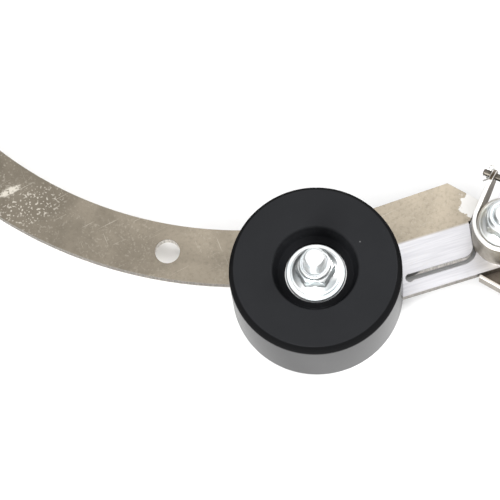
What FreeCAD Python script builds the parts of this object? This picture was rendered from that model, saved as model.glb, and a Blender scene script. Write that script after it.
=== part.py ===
import FreeCAD, Part
import math
import os
import re

import Sketcher

# A roller ("gate wheel") on a curved flat arm, lying on its hinge bracket.
# Millimetres. The origin is on the arm's pivot axis, at the bracket's underside.
# +Z runs along the pivot and the axle, towards their nuts; +X points away from the
# curved arm's free end.

DIMENSIONS = {
    # curved arm, in its own frame: u along the plate, v across it, (0, 0) at the axle
    "arm_turn": 17.5,
    "pivot_along": 86.1,
    "pivot_across": 2.0,
    "plate_base": 2.4,
    "plate_thickness": 5.0,
    "strip_width": 25.0,
    "arc_radius": 188.5,
    "arc_start": 28.9,
    "arc_across": 207.2,
    "hole_radius": 5.6,
    "hole_angle": 27.4,
    "end_angle": 58.5,
    "front_edge": 11.7,
    "ear_angle": 17.5,
    "ear_tangent": 43.6,
    "peak_along": 70.1,
    "peak_across": 32.7,
    "tip_along": 81.1,
    "tip_across": 20.9,
    "lobe_radius": 13.5,
    "neck_along": 74.0,
    "neck_across": 8.0,
    # the slot that leaves a tongue along the front edge and a round-cornered flap behind it
    "relief_along": 41.0,
    "relief_across": -4.2,
    "relief_radius": 1.9,
    "slot_start": 41.0,
    "slot_edge": -5.6,
    "slot_corner_along": 66.5,
    "slot_corner_across": 1.2,
    "slot_corner_radius": 6.7,
    "slot_mouth_along": 75.0,
    "slot_mouth_across": 13.0,
    "flap_start": 38.0,
    "flap_edge": -2.4,
    "flap_corner_along": 67.1,
    "flap_corner_across": 2.6,
    "flap_corner_radius": 5.0,
    "flap_end_along": 73.5,
    "flap_end_across": 12.0,
    # wheel and its axle
    "wheel_gap": 3.0,
    "wheel_radius": 37.5,
    "wheel_width": 40.0,
    "face_radius": 35.3,
    "shoulder_drop": 5.0,
    "shoulder_middle_drop": 2.1,
    "shoulder_middle_inset": 0.6,
    "back_radius": 36.0,
    "recess_mouth": 18.85,
    "recess_floor": 16.5,
    "recess_depth": 7.7,
    "back_recess_mouth": 17.6,
    "hub_inner": 12.9,
    "lip_radius": 13.4,
    "bearing_inset": 2.0,
    "bearing_width": 9.0,
    "bearing_radius": 15.0,
    "bearing_bore": 5.05,
    "inner_shoulder": 8.6,
    "outer_shoulder": 11.4,
    "front_bearing": 21.8,
    "pitch_radius": 10.0,
    "ball_radius": 2.38,
    "ball_clearance": 0.05,
    "cage_half_width": 3.1,
    "cage_inner": 9.35,
    "cage_outer": 10.65,
    "seal_thickness": 0.8,
    "seal_inset": 0.1,
    "seal_inner": 8.75,
    "press_gap": 0.02,
    "spacer_bore": 5.1,
    "hub_spacer_radius": 8.0,
    "tube_radius": 7.5,
    "washer_radius": 12.9,
    "washer_thickness": 2.0,
    "head_washer_radius": 10.5,
    # fasteners
    "thread_radius": 4.95,
    "thread_chamfer": 1.0,
    "bolt_head_height": 6.4,
    "bolt_head_corner": 9.24,
    "bolt_length": 65.0,
    "nut_corner": 8.66,
    "nut_bore": 5.0,
    "nut_flange_radius": 11.0,
    "nut_flange_edge": 1.0,
    "nut_flange_rise": 1.7,
    "nut_flange_top": 8.05,
    "hexagon_rim": 0.9,
    "hexagon_slope": 60.0,
    "nut_hex_top": 10.2,
    "nut_height": 13.4,
    "nut_collar_radius": 7.0,
    "nut_collar_chamfer": 0.6,
    "insert_radius": 6.0,
    "insert_height": 2.6,
    "insert_drop": 0.4,
    # pivot and bracket
    "fit": 0.05,
    "axial_play": 0.1,
    "base_thickness": 1.8,
    "stud_foot_radius": 7.0,
    "stud_top": 39.9,
    "sleeve_radius": 8.0,
    "bush_radius": 12.0,
    "bush_top": 25.1,
    "bracket_turn": -30.0,
    "bracket_start": 0.1,
    "bracket_length": 43.9,
    "bracket_front": 21.9,
    "bracket_back": 23.8,
    "bracket_round": 13.4,
    "lip_height": 7.4,
    "lip_thickness": 1.6,
    "bracket_hole_radius": 4.5,
    "bracket_hole_along": 34.0,
    "bracket_hole_across": 9.0,
    # yoke, in its own frame: x along the cross pin, y along the legs
    "yoke_turn": -23.0,
    "strap_thickness": 1.8,
    "strap_base": 7.6,
    "strap_width": 20.8,
    "leg_length": 23.3,
    "leg_round": 10.3,
    "pin_along": 20.9,
    "pin_radius": 1.5,
    "pin_chamfer": 0.4,
    "pin_end": 18.2,
    "pin_head_radius": 2.6,
    "pin_head_thickness": 1.5,
    # split pin, lying along the legs' direction
    "split_across": 15.4,
    "split_hole_radius": 0.8,
    "split_wire": 0.35,
    "split_loop": 1.0,
    "split_eye": 24.2,
    "split_bend": 18.7,
    "split_long_end": 3.8,
    "split_short_end": 2.6,
}

UP = FreeCAD.Vector(0, 0, 1)
ALONG_X = FreeCAD.Vector(1, 0, 0)
ALONG_Y = FreeCAD.Vector(0, 1, 0)
ACROSS_BOTH = FreeCAD.Vector(1, -1, 0)
BALL_COUNT = 8

doc = FreeCAD.newDocument("gate_wheel")
sheet = doc.addObject("Spreadsheet::Sheet", "sheet")
for row, (name, value) in enumerate(DIMENSIONS.items(), start=1):
    sheet.set(f"A{row}", name)
    sheet.set(f"B{row}", str(value))
    sheet.setAlias(f"B{row}", name)
doc.recompute()


def cells(expression):
    """The expression with every sheet alias in it pointed at the sheet."""
    return re.sub(r"[a-z_]+", lambda m: f"sheet.{m[0]}" if m[0] in DIMENSIONS else m[0], expression)


# Heights and places that several pieces share.
PLATE_TOP = "( plate_base + plate_thickness )"
WHEEL_BACK = f"( {PLATE_TOP} + wheel_gap )"
REAR_BEARING = f"( {WHEEL_BACK} + bearing_inset )"
FRONT_BEARING = f"( {WHEEL_BACK} + front_bearing )"
WASHER_BASE = f"( {FRONT_BEARING} + bearing_width )"
AXLE_NUT_BASE = f"( {WASHER_BASE} + washer_thickness )"
HEAD_TOP = "( plate_base - washer_thickness )"
AXLE_X = "-( pivot_along * cos( arm_turn ) - pivot_across * sin( arm_turn ) )"
AXLE_Y = "-( pivot_along * sin( arm_turn ) + pivot_across * cos( arm_turn ) )"
AXLE = (AXLE_X, AXLE_Y)
PIVOT = ("0", "0")
PIN_HEIGHT = "( strap_base + strap_width / 2 )"
STRAP_INNER = "( bush_radius + fit )"
STRAP_OUTER = "( bush_radius + fit + strap_thickness )"


def bind(thing, **sizes):
    """Binds properties of an object to expressions on the sheet."""
    for name, expression in sizes.items():
        thing.setExpression(name, cells(expression))
    return thing


def place(thing, x="0", y="0", z="0", turn=None, axis=UP):
    """Binds where an object stands and how far it is turned about an axis."""
    if turn is not None:
        thing.Placement = FreeCAD.Placement(FreeCAD.Vector(), FreeCAD.Rotation(axis, 1))
        thing.setExpression("Placement.Rotation.Angle", cells(turn))
    for letter, expression in zip("xyz", (x, y, z)):
        thing.setExpression(f"Placement.Base.{letter}", cells(expression))
    return thing


def cylinder(radius, height, at=("0", "0", "0"), turn=None, axis=UP, angle=None):
    thing = bind(doc.addObject("Part::Cylinder", "round"), Radius=radius, Height=height)
    if angle is not None:
        bind(thing, Angle=angle)
    return place(thing, *at, turn=turn, axis=axis)


def cone(low, high, height, at=("0", "0", "0"), turn=None, axis=UP):
    thing = doc.addObject("Part::Cone", "taper")
    return place(bind(thing, Radius1=low, Radius2=high, Height=height), *at, turn=turn, axis=axis)


def box(length, width, height, at=("0", "0", "0"), turn=None, axis=UP):
    thing = doc.addObject("Part::Box", "block")
    return place(bind(thing, Length=length, Width=width, Height=height), *at, turn=turn, axis=axis)


def hexagon(corner, height, at=("0", "0", "0"), turn=None):
    thing = doc.addObject("Part::Prism", "hexagon")
    thing.Polygon = 6
    return place(bind(thing, Circumradius=corner, Height=height), *at, turn=turn)


def ball(radius, at=("0", "0", "0")):
    return place(bind(doc.addObject("Part::Sphere", "ball"), Radius=radius), *at)


def fuse(*things, label="joined"):
    whole = doc.addObject("Part::MultiFuse", label)
    whole.Shapes = list(things)
    whole.Refine = True
    return whole


def cut(base, *tools, label="cut"):
    for number, tool in enumerate(tools):
        whole = doc.addObject("Part::Cut", label if number == len(tools) - 1 else f"{label}_step")
        whole.Base = base
        whole.Tool = tool
        base = whole
    return base


def common(first, second, label="shared"):
    whole = doc.addObject("Part::Common", label)
    whole.Base = first
    whole.Tool = second
    return whole


def group(*things, label):
    whole = doc.addObject("Part::Compound", label)
    whole.Links = list(things)
    return whole


def origin_plane(body, role):
    return next(part for part in body.Origin.OriginFeatures if part.Role == role)


def outline(sketch, corners):
    """Closes a polygon whose corners are pairs of expressions, each held from the origin."""
    count = len(corners)
    spread = [2 * math.pi * number / count for number in range(count)]
    rough = [FreeCAD.Vector(10 * math.cos(a), 10 * math.sin(a), 0) for a in spread]
    for number in range(count):
        line = Part.LineSegment(rough[number], rough[(number + 1) % count])
        sketch.addGeometry(line, False)
    for number in range(count):
        sketch.addConstraint(Sketcher.Constraint("Coincident", number, 2, (number + 1) % count, 1))
    for number, corner in enumerate(corners):
        for kind, expression in zip(("DistanceX", "DistanceY"), corner):
            held = sketch.addConstraint(Sketcher.Constraint(kind, -1, 1, number, 1, 1.0))
            sketch.setExpression(f"Constraints[{held}]", cells(expression))


def sketched(body, role, corners):
    sketch = body.newObject("Sketcher::SketchObject", f"{body.Name}_outline")
    sketch.AttachmentSupport = (origin_plane(body, role), "")
    sketch.MapMode = "FlatFace"
    outline(sketch, corners)
    return sketch


def turned(label, corners, at=AXLE):
    """A turned piece on an upright axis; corners are (radius, height) pairs."""
    body = doc.addObject("PartDesign::Body", label)
    sketch = sketched(body, "XZ_Plane", corners)
    turning = body.newObject("PartDesign::Revolution", f"{label}_turning")
    turning.Profile = sketch
    turning.ReferenceAxis = (sketch, ["V_Axis"])
    turning.Angle = 360
    return place(body, *at)


def ring(label, inner, outer, low, high, at=AXLE):
    return turned(label, [(inner, low), (outer, low), (outer, high), (inner, high)], at)


def padded(label, corners, height):
    """A flat piece: a polygon in plan, given its thickness."""
    body = doc.addObject("PartDesign::Body", label)
    sketch = sketched(body, "XY_Plane", corners)
    pad = body.newObject("PartDesign::Pad", f"{label}_pad")
    pad.Profile = sketch
    pad.setExpression("Length", cells(height))
    return body


# ---------------------------------------------------------------- curved arm
def arc_point(radius, angle):
    """A point on the curved strip, by its angle from where the arc leaves the plate."""
    return (
        f"arc_start - {radius} * sin( {angle} )",
        f"arc_across - {radius} * cos( {angle} )",
    )


def through_plate(radius, along, across):
    """A round the thickness of the plate, standing in the arm's own frame."""
    return cylinder(radius, "plate_thickness", (along, across, "plate_base"))


def plate_piece(label, corners):
    """A polygon the thickness of the plate, in the arm's own frame."""
    return place(padded(label, corners, "plate_thickness"), z="plate_base")


def make_slot():
    """The slot between tongue and flap: it rounds the flap's corner and opens beside the lobe."""
    area = plate_piece(
        "slot_area",
        [
            ("slot_start", "slot_edge"),
            ("slot_corner_along", "slot_edge"),
            ("slot_corner_along", "slot_corner_across"),
            ("slot_corner_along + slot_corner_radius", "slot_corner_across"),
            ("slot_mouth_along", "slot_mouth_across"),
            ("slot_start", "slot_mouth_across"),
        ],
    )
    flap = plate_piece(
        "flap_area",
        [
            ("flap_start", "flap_edge"),
            ("flap_corner_along", "flap_edge"),
            ("flap_corner_along", "flap_corner_across"),
            ("flap_corner_along + flap_corner_radius", "flap_corner_across"),
            ("flap_end_along", "flap_end_across"),
            ("flap_end_along", "slot_mouth_across + slot_corner_radius"),
            ("flap_start", "slot_mouth_across + slot_corner_radius"),
        ],
    )
    outer = through_plate("slot_corner_radius", "slot_corner_along", "slot_corner_across")
    inner = through_plate("flap_corner_radius", "flap_corner_along", "flap_corner_across")
    return cut(fuse(area, outer), fuse(flap, inner), label="slot")


def make_arm():
    """One flat blank: a curved strip, a slotted plate end, and a round lobe at the pivot."""
    outer_edge = "( arc_radius + strip_width / 2 )"
    inner_edge = "( arc_radius - strip_width / 2 )"
    at_arc = ("arc_start", "arc_across", "plate_base")
    strip = cut(
        cylinder(outer_edge, "plate_thickness", at_arc, turn="270 - end_angle", angle="end_angle"),
        cylinder(inner_edge, "plate_thickness", at_arc),
    )
    plate = plate_piece(
        "plate_area",
        [
            ("0", "-front_edge"),
            ("pivot_along", "pivot_across - lobe_radius"),
            ("pivot_along", "pivot_across"),
            ("neck_along", "neck_across"),
            ("flap_end_along", "flap_end_across"),
            ("tip_along", "tip_across"),
            ("peak_along", "peak_across"),
            ("arc_start", f"arc_across - {inner_edge}"),
            arc_point("arc_radius", "ear_angle"),
            arc_point(outer_edge, "ear_angle"),
            ("-front_edge * cos( ear_tangent )", "-front_edge * sin( ear_tangent )"),
        ],
    )
    discs = [
        through_plate("front_edge", "0", "0"),
        through_plate("lobe_radius", "pivot_along", "pivot_across"),
        through_plate("strip_width / 2", *arc_point("arc_radius", "end_angle")),
    ]
    holes = [
        through_plate("spacer_bore", "0", "0"),
        through_plate("sleeve_radius + fit", "pivot_along", "pivot_across"),
        through_plate("relief_radius", "relief_along", "relief_across"),
        through_plate("hole_radius", *arc_point("arc_radius", "hole_angle")),
        through_plate("hole_radius", *arc_point("arc_radius", "end_angle")),
    ]
    arm = cut(fuse(strip, plate, *discs), *holes, make_slot(), label="arm_plate")
    return place(arm, *AXLE, turn="arm_turn")


# ------------------------------------------------------------ wheel and bearings
def make_wheel():
    """The moulded wheel: a flat face with a rounded shoulder and a tapered recess."""
    back = WHEEL_BACK
    face = f"{back} + wheel_width"
    floor = f"{face} - recess_depth"
    seat = "bearing_radius + press_gap"
    corners = [
        (seat, f"{back} + bearing_inset"),
        ("back_recess_mouth", back),
        ("back_radius", back),
        ("wheel_radius", f"{back} + shoulder_drop / 2"),
        ("wheel_radius", f"{face} - shoulder_drop"),
        ("wheel_radius - shoulder_middle_inset", f"{face} - shoulder_middle_drop"),
        ("face_radius", face),
        ("recess_mouth", face),
        ("recess_floor", floor),
        ("lip_radius", floor),
        ("lip_radius", f"{FRONT_BEARING} + bearing_width"),
        (seat, f"{FRONT_BEARING} + bearing_width"),
        (seat, FRONT_BEARING),
        ("hub_inner", FRONT_BEARING),
        ("hub_inner", f"{REAR_BEARING} + bearing_width"),
        (seat, f"{REAR_BEARING} + bearing_width"),
    ]
    return turned("wheel_body", corners)


def ball_places():
    """Where each ball stands in plan, evenly round the pitch circle."""
    angles = [360 / BALL_COUNT * number for number in range(BALL_COUNT)]
    return [
        (f"{AXLE_X} + pitch_radius * cos( {angle} )", f"{AXLE_Y} + pitch_radius * sin( {angle} )")
        for angle in angles
    ]


def pockets_for_balls(middle):
    """Round pockets that open upwards, so that the cage is a crown the balls snap into."""
    radius = "( ball_radius + ball_clearance )"
    return [
        cylinder(radius, f"{radius} + cage_half_width", (x, y, f"{middle} - {radius}"))
        for x, y in ball_places()
    ]


def make_bearing(side, low):
    """A sealed ball bearing: two races, a ring of balls in a cage, and two seals."""
    middle = f"{low} + bearing_width / 2"
    high = f"{low} + bearing_width"
    races = {
        f"{side}_inner_race": ("bearing_bore", "inner_shoulder"),
        f"{side}_outer_race": ("outer_shoulder", "bearing_radius"),
    }
    pieces = []
    for label, (inner, outer) in races.items():
        groove = doc.addObject("Part::Torus", "groove")
        bind(groove, Radius1="pitch_radius", Radius2="ball_radius + ball_clearance")
        place(groove, *AXLE, middle)
        pieces.append(cut(ring(f"{label}_blank", inner, outer, low, high), groove, label=label))
    balls = [ball("ball_radius", (x, y, middle)) for x, y in ball_places()]
    pieces.append(group(*balls, label=f"{side}_balls"))
    blank = ring(
        f"{side}_cage_blank",
        "cage_inner",
        "cage_outer",
        f"{middle} - cage_half_width",
        f"{middle} + cage_half_width",
    )
    pockets = fuse(*pockets_for_balls(middle))
    pieces.append(cut(blank, pockets, label=f"{side}_ball_cage"))
    seals = []
    for name, base in (
        ("low", f"{low} + seal_inset"),
        ("high", f"{high} - seal_inset - seal_thickness"),
    ):
        seal = ring(
            f"{side}_{name}_seal",
            "seal_inner",
            "outer_shoulder - press_gap",
            base,
            f"{base} + seal_thickness",
        )
        seals.append(seal)
    pieces.append(group(*seals, label=f"{side}_seals"))
    return pieces


def make_spacers():
    return [
        ring("hub_spacer", "spacer_bore", "hub_spacer_radius", PLATE_TOP, REAR_BEARING),
        ring(
            "bearing_spacer",
            "spacer_bore",
            "tube_radius",
            f"{REAR_BEARING} + bearing_width",
            FRONT_BEARING,
        ),
        ring("front_washer", "spacer_bore", "washer_radius", WASHER_BASE, AXLE_NUT_BASE),
        ring("head_washer", "spacer_bore", "head_washer_radius", HEAD_TOP, "plate_base"),
    ]


# ------------------------------------------------------------------ fasteners
def chamfered(prism, corner, low, height, at):
    """A hexagon with its upper corners turned off at about thirty degrees."""
    rim = f"{corner} * hexagon_rim"
    cap = cone(f"{rim} + {height} * tan( hexagon_slope )", rim, height, (*at, low))
    return common(prism, cap)


def make_axle_bolt():
    """A hexagon bolt, head down, with a chamfered thread end."""
    head_base = f"{HEAD_TOP} - bolt_head_height"
    head = hexagon("bolt_head_corner", "bolt_head_height", (*AXLE, head_base))
    shank = cylinder("thread_radius", "bolt_length - thread_chamfer", (*AXLE, HEAD_TOP))
    end = cone(
        "thread_radius",
        "thread_radius - thread_chamfer",
        "thread_chamfer",
        (*AXLE, f"{HEAD_TOP} + bolt_length - thread_chamfer"),
    )
    return fuse(head, shank, end, label="axle_bolt")


def make_flange_nut(side, at, base, turn):
    """A flange nut with a tall collar crimped round a nylon ring."""
    hex_height = "( nut_hex_top - nut_flange_edge )"
    above_edge = f"{base} + nut_flange_edge"
    prism = hexagon("nut_corner", hex_height, (*at, above_edge), turn=turn)
    collar_edge = f"{base} + nut_height - nut_collar_chamfer"
    collar = ("nut_collar_radius", "nut_height - nut_hex_top - nut_collar_chamfer")
    rim = ("nut_collar_radius", "nut_collar_radius - nut_collar_chamfer", "nut_collar_chamfer")
    solid = fuse(
        cylinder("nut_flange_radius", "nut_flange_edge", (*at, base)),
        cone("nut_flange_radius", "nut_flange_top", "nut_flange_rise", (*at, above_edge)),
        chamfered(prism, "nut_corner", above_edge, hex_height, at),
        cylinder(*collar, (*at, f"{base} + nut_hex_top")),
        cone(*rim, (*at, collar_edge)),
    )
    insert_top = f"{base} + nut_height - insert_drop"
    insert_base = f"{insert_top} - insert_height"
    nut = cut(
        solid,
        cylinder("nut_bore", "nut_height", (*at, base)),
        cylinder("insert_radius", "insert_height + insert_drop", (*at, insert_base)),
        label=f"{side}_nut",
    )
    insert_outer = "insert_radius - press_gap"
    insert = ring(f"{side}_nut_insert", "nut_bore", insert_outer, insert_base, insert_top, at)
    return [nut, insert]


# --------------------------------------------------------------------- pivot
def make_pivot():
    """A stud riveted flush into the bracket, the sleeve the arm turns on, and the yoke's bush."""
    foot = cylinder("stud_foot_radius", "base_thickness")
    shank = cylinder("thread_radius", "stud_top - thread_chamfer")
    end = cone(
        "thread_radius",
        "thread_radius - thread_chamfer",
        "thread_chamfer",
        ("0", "0", "stud_top - thread_chamfer"),
    )
    under_arm = "plate_base - axial_play"
    over_arm = f"{PLATE_TOP} + axial_play"
    snug = "sleeve_radius + fit"
    return [
        fuse(foot, shank, end, label="pivot_stud"),
        ring("pivot_sleeve", "spacer_bore", "sleeve_radius", "base_thickness", "bush_top", PIVOT),
        ring("arm_spacer_ring", snug, "bush_radius", "base_thickness", under_arm, PIVOT),
        ring("yoke_bush", snug, "bush_radius", over_arm, "bush_top", PIVOT),
    ]


def make_bracket():
    """A shallow channel: a thin base with a round end at the pivot and a lip on each long edge."""
    across = "( bracket_front + bracket_back )"
    lip = ("bracket_length", "lip_thickness", "lip_height")
    solid = fuse(
        box("bracket_length", across, "base_thickness", ("bracket_start", "-bracket_front", "0")),
        cylinder("bracket_round", "base_thickness"),
        box(*lip, ("bracket_start", "-bracket_front", "0")),
        box(*lip, ("bracket_start", "bracket_back - lip_thickness", "0")),
    )
    holes = [cylinder("stud_foot_radius + press_gap", "base_thickness")]
    for sign in ("", "-"):
        at = ("bracket_hole_along", f"{sign}bracket_hole_across", "0")
        holes.append(cylinder("bracket_hole_radius", "base_thickness", at))
    return place(cut(solid, *holes, label="hinge_bracket"), turn="bracket_turn")


# ---------------------------------------------------------------------- yoke
def leg_shape():
    """The outline of a leg seen along the cross pin, as a block with two rounded corners."""
    wide = f"( 2 * {STRAP_OUTER} )"
    left = f"-{STRAP_OUTER}"
    lay = {"turn": "90", "axis": ALONG_Y}
    corner_y = "leg_length - leg_round"
    rounds = [
        cylinder("leg_round", wide, (left, corner_y, height), **lay)
        for height in ("strap_base + leg_round", "strap_base + strap_width - leg_round")
    ]
    long_block = box(
        wide,
        f"leg_length + {STRAP_OUTER}",
        "strap_width - 2 * leg_round",
        (left, left, "strap_base + leg_round"),
    )
    short_block = box(wide, f"{corner_y} + {STRAP_OUTER}", "strap_width", (left, left, "strap_base"))
    return fuse(long_block, short_block, *rounds)


def make_yoke():
    """A flat strap bent round the bush, with two legs that a cross pin joins."""
    bend = cylinder(STRAP_OUTER, "strap_width", ("0", "0", "strap_base"), turn="180", angle="180")
    leg = ("strap_thickness", "leg_length", "strap_width")
    strap = fuse(
        cut(bend, cylinder(STRAP_INNER, "strap_width", ("0", "0", "strap_base"))),
        box(*leg, (f"-{STRAP_OUTER}", "0", "strap_base")),
        box(*leg, (STRAP_INNER, "0", "strap_base")),
    )
    lay = {"turn": "90", "axis": ALONG_Y}
    pin_hole = cylinder(
        "pin_radius + fit",
        f"2 * {STRAP_OUTER}",
        (f"-{STRAP_OUTER}", "pin_along", PIN_HEIGHT),
        **lay,
    )
    yoke = cut(common(strap, leg_shape()), pin_hole, label="yoke_strap")
    return place(yoke, turn="yoke_turn")


def make_clevis_pin():
    """The cross pin: a flat head at one end and a chamfered end with a cross hole at the other."""
    lay = {"turn": "90", "axis": ALONG_Y}
    row = ("pin_along", PIN_HEIGHT)
    head_start = f"{STRAP_OUTER} + axial_play"
    shank_start = "-pin_end + pin_chamfer"
    solid = fuse(
        cylinder("pin_radius", f"{head_start} - ( {shank_start} )", (shank_start, *row), **lay),
        cone("pin_radius - pin_chamfer", "pin_radius", "pin_chamfer", ("-pin_end", *row), **lay),
        cylinder("pin_head_radius", "pin_head_thickness", (head_start, *row), **lay),
    )
    hole_start = ("-split_across", "pin_along - 2 * pin_radius", PIN_HEIGHT)
    cross_hole = cylinder("split_hole_radius", "4 * pin_radius", hole_start, turn="-90", axis=ALONG_X)
    return place(cut(solid, cross_hole, label="clevis_pin"), turn="yoke_turn")


def make_split_pin():
    """A split pin: a round eye outside the cross pin and two legs through it, bent apart."""
    eye = bind(doc.addObject("Part::Torus", "eye"), Radius1="split_loop", Radius2="split_wire")
    place(eye, "-split_across", "split_eye", PIN_HEIGHT)
    length = "split_eye - split_loop - split_bend + split_wire"
    far_bend = ("-split_across - split_wire - press_gap", "split_bend", PIN_HEIGHT)
    near_bend = ("-split_across + split_wire + press_gap", "split_bend", PIN_HEIGHT)
    pieces = [
        eye,
        cylinder("split_wire", length, far_bend, turn="-90", axis=ALONG_X),
        cylinder("split_wire", length, near_bend, turn="-90", axis=ALONG_X),
        ball("split_wire", far_bend),
        ball("split_wire", near_bend),
        cylinder("split_wire", "split_long_end", far_bend, turn="-90", axis=ALONG_Y),
        cylinder("split_wire", "split_short_end", near_bend, turn="90", axis=ACROSS_BOTH),
    ]
    return place(fuse(*pieces, label="split_pin"), turn="yoke_turn")


# ------------------------------------------------------------------- assembly
def make_everything():
    return [
        make_arm(),
        make_wheel(),
        *make_bearing("rear", REAR_BEARING),
        *make_bearing("front", FRONT_BEARING),
        *make_spacers(),
        make_axle_bolt(),
        *make_flange_nut("axle", AXLE, AXLE_NUT_BASE, "0"),
        *make_pivot(),
        *make_flange_nut("pivot", PIVOT, "bush_top", "30"),
        make_bracket(),
        make_yoke(),
        make_clevis_pin(),
        make_split_pin(),
    ]


def check(pieces):
    """Stops if any object failed to compute or any piece isn't a valid solid."""
    for thing in doc.Objects:
        if "Invalid" in thing.State or "Error" in thing.State:
            raise RuntimeError(f"{thing.Label} did not compute: {thing.State}")
    for piece in pieces:
        if piece.Shape.isNull() or not piece.Shape.isValid() or not piece.Shape.Solids:
            raise RuntimeError(f"{piece.Label} is not a valid solid")


pieces = make_everything()
doc.recompute()
check(pieces)
os.makedirs("parts", exist_ok=True)
for piece in pieces:
    piece.Shape.exportStep(f"parts/{piece.Label}.step")
    reach = piece.Shape.BoundBox
    print(
        f"{piece.Label}: {len(piece.Shape.Solids)} solid(s), {piece.Shape.Volume / 1000:.2f} cm3,"
        f" x {reach.XMin:.1f}..{reach.XMax:.1f}, y {reach.YMin:.1f}..{reach.YMax:.1f},"
        f" z {reach.ZMin:.1f}..{reach.ZMax:.1f}"
    )
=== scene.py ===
# %% [markdown]
# # A black roller on a curved, flat steel arm
#
# The object is a piece of gate hardware. A black roller turns on a bolt, the bolt is fixed in a flat
# curved arm, and the arm swings on a stud that stands in a small channel bracket. A bent strap with a
# cross pin turns on the same stud.
#
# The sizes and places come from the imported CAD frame. This file gives each piece its visible surface
# and its finish. Lengths are metres, so a value in millimetres is multiplied by MM.

import math

import bmesh
import bpy
import numpy as np
from mathutils import Matrix, Vector


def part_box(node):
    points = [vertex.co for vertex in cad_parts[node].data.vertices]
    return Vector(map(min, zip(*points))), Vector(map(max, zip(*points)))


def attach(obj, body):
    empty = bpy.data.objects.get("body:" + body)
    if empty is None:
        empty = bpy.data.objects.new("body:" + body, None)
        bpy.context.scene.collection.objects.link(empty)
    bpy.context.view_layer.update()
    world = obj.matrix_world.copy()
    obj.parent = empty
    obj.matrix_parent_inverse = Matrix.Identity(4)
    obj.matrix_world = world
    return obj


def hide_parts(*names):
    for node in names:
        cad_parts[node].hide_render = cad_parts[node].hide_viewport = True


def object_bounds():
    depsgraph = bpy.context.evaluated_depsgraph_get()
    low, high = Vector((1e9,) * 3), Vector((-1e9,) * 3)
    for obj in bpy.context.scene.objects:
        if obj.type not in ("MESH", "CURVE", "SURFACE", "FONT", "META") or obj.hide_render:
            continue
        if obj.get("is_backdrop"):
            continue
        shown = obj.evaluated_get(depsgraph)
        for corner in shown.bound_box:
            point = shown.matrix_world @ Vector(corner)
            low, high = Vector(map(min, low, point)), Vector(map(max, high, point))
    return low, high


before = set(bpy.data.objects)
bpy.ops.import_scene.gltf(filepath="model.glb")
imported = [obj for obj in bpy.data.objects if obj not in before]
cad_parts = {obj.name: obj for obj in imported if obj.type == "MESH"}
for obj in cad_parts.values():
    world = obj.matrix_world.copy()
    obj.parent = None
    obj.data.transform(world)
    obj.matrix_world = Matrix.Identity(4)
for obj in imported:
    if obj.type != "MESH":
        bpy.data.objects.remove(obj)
cad_low, cad_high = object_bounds()
MM = 0.001
print("CAD box in mm:", [round(side / MM, 1) for side in cad_high - cad_low])

# %% [markdown]
# ## Where things are
#
# Everything round in this object turns about one of two upright axes: the axle in the middle of the
# roller, and the pivot, which is the origin. Heights are read from the CAD nodes, so that each visible
# piece lies exactly on its neighbours.

# %% Axes and heights
wheel_low, wheel_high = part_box("wheel_body")
AXLE = ((wheel_low + wheel_high) / 2).xy
PIVOT = Vector((0, 0))
ARM_TURN = math.radians(17.5)
WHEEL_RADIUS = (wheel_high.x - wheel_low.x) / 2
WHEEL_FACE = wheel_high.z


def heights(node):
    """The lowest and highest z of a CAD node."""
    low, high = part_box(node)
    return low.z, high.z


def outer_radius(node):
    """Half the width of a round upright CAD node."""
    low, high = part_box(node)
    return (high.x - low.x) / 2


print("axle at", [round(value / MM, 2) for value in AXLE], "roller radius", round(WHEEL_RADIUS / MM, 2))

# %% [markdown]
# ## Surfaces from grids of points
#
# A turned, swept or threaded piece is a grid: one parameter runs along its outline and the other runs
# round it. The whole grid is worked out at once as a numpy array, and one helper joins neighbouring
# points into faces. Where a row shrinks to one point, a pole, its copies are merged, and the normals are
# then recalculated so that every face looks outwards.

# %% A mesh from grids
def surface(name, *grids, along=True, sharp=32):
    """A mesh on one or more grids of points. Face (i, j) joins the points (i, j), (i, j + 1),
    (i + 1, j + 1) and (i + 1, j). Columns always close on themselves, rows only where along is true."""
    points, faces, count = [], [], 0
    for grid in grids:
        rows, columns = grid.shape[:2]
        number = np.arange(rows * columns).reshape(rows, columns) + count
        number = np.hstack([number, number[:, :1]])
        if along:
            number = np.vstack([number, number[:1]])
        quads = [number[:-1, :-1], number[:-1, 1:], number[1:, 1:], number[1:, :-1]]
        faces.append(np.stack(quads, axis=-1).reshape(-1, 4))
        points.append(grid.reshape(-1, 3))
        count += rows * columns
    mesh = bpy.data.meshes.new(name)
    mesh.from_pydata(np.concatenate(points), [], np.concatenate(faces))
    return finished(name, mesh, sharp)


def finished(name, mesh, sharp):
    """An object whose mesh is welded, faces outwards, and is smooth except at edges over the angle."""
    work = bmesh.new()
    work.from_mesh(mesh)
    bmesh.ops.remove_doubles(work, verts=work.verts, dist=1e-7)
    bmesh.ops.dissolve_degenerate(work, edges=work.edges, dist=1e-8)
    bmesh.ops.recalc_face_normals(work, faces=work.faces)
    for face in work.faces:
        face.smooth = True
    for edge in work.edges:
        edge.smooth = len(edge.link_faces) == 2 and edge.calc_face_angle() < math.radians(sharp)
    work.to_mesh(mesh)
    work.free()
    made = bpy.data.objects.new(name, mesh)
    bpy.context.scene.collection.objects.link(made)
    print(f"{name}: {len(mesh.polygons)} faces")
    return made


# %% [markdown]
# ## Outlines with soft corners
#
# No edge on a moulded or machined piece is perfectly sharp, and it is the small rounding that catches
# the light. An outline is therefore given as its few corners with a radius each, and every corner is
# swapped for an arc that touches both of its sides.

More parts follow.
